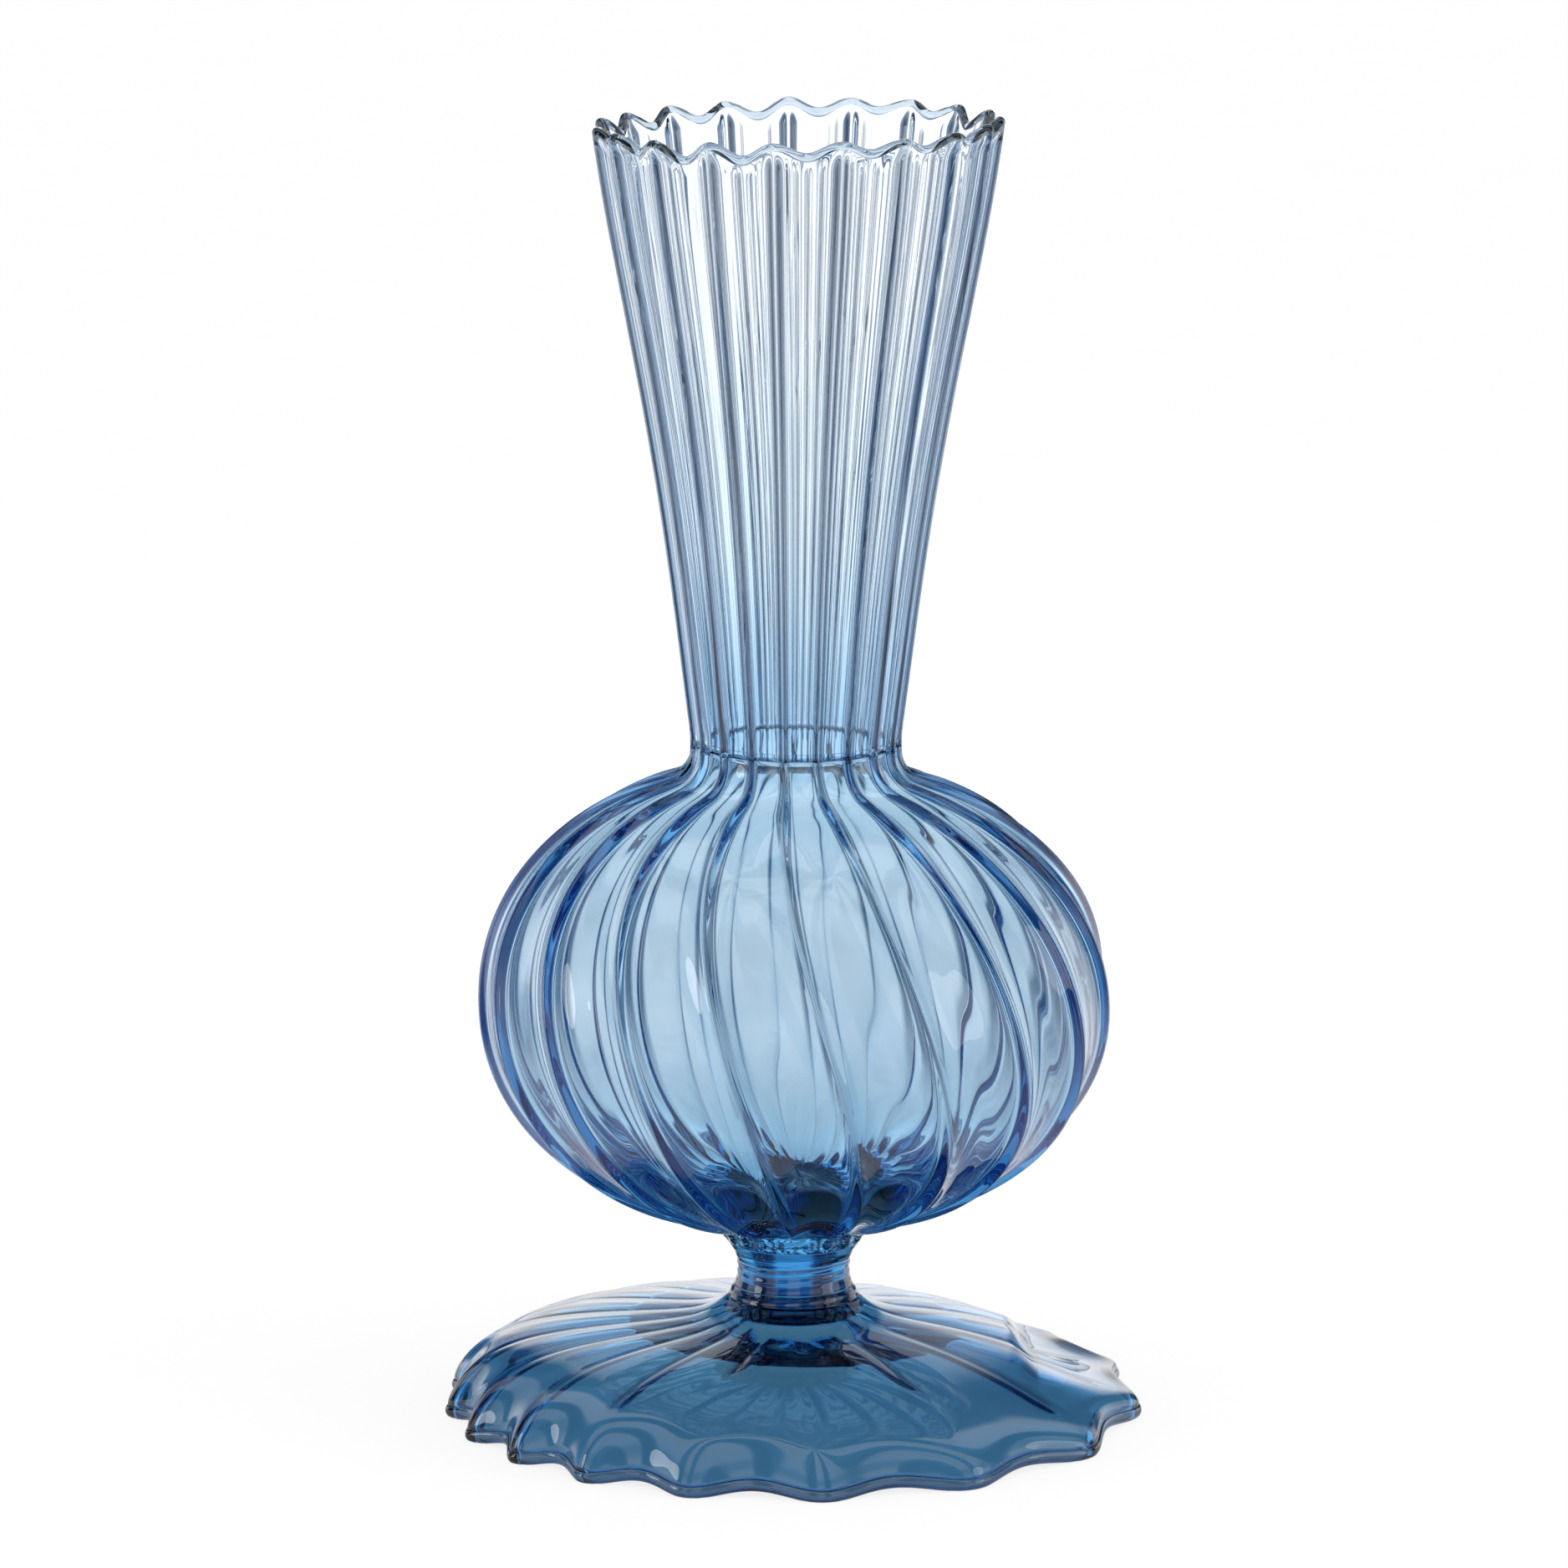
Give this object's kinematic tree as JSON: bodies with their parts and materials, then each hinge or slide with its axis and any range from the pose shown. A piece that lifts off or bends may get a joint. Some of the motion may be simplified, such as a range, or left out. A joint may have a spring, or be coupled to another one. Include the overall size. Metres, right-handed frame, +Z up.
{
  "type": "glass bud vase",
  "caption": "Footed bud vase in ribbed blue glass: flared funnel neck with a wavy rolled lip, twisted globe, short solid stem and domed foot with a scalloped edge.",
  "frame": {"origin": "on the table, under the middle of the foot", "axes": "+Z up through the mouth; -Y towards the front of the vase; +X to the viewer's right"},
  "size_m": [0.0912, 0.0915, 0.1699],
  "materials": {
    "lip_glass": "fire polished, nearly clear",
    "neck_glass": "gloss, pale blue",
    "weld_glass": "gloss, mid blue weld line",
    "bulb_glass": "gloss, light blue",
    "collar_glass": "gloss, deep blue",
    "stem_glass": "gloss, deep blue solid glass",
    "foot_glass": "gloss, steel blue",
    "foot_edge_glass": "fire polished, steel blue"
  },
  "bodies": {
    "root": {"mouth_lip": "lip_glass", "neck_funnel": "neck_glass", "throat_weld": "weld_glass", "bulb_globe": "bulb_glass", "upper_collar": "collar_glass", "stem_spool": "stem_glass", "lower_collar": "collar_glass", "foot_dome": "foot_glass", "foot_edge": "foot_edge_glass"}
  },
  "joints": []
}
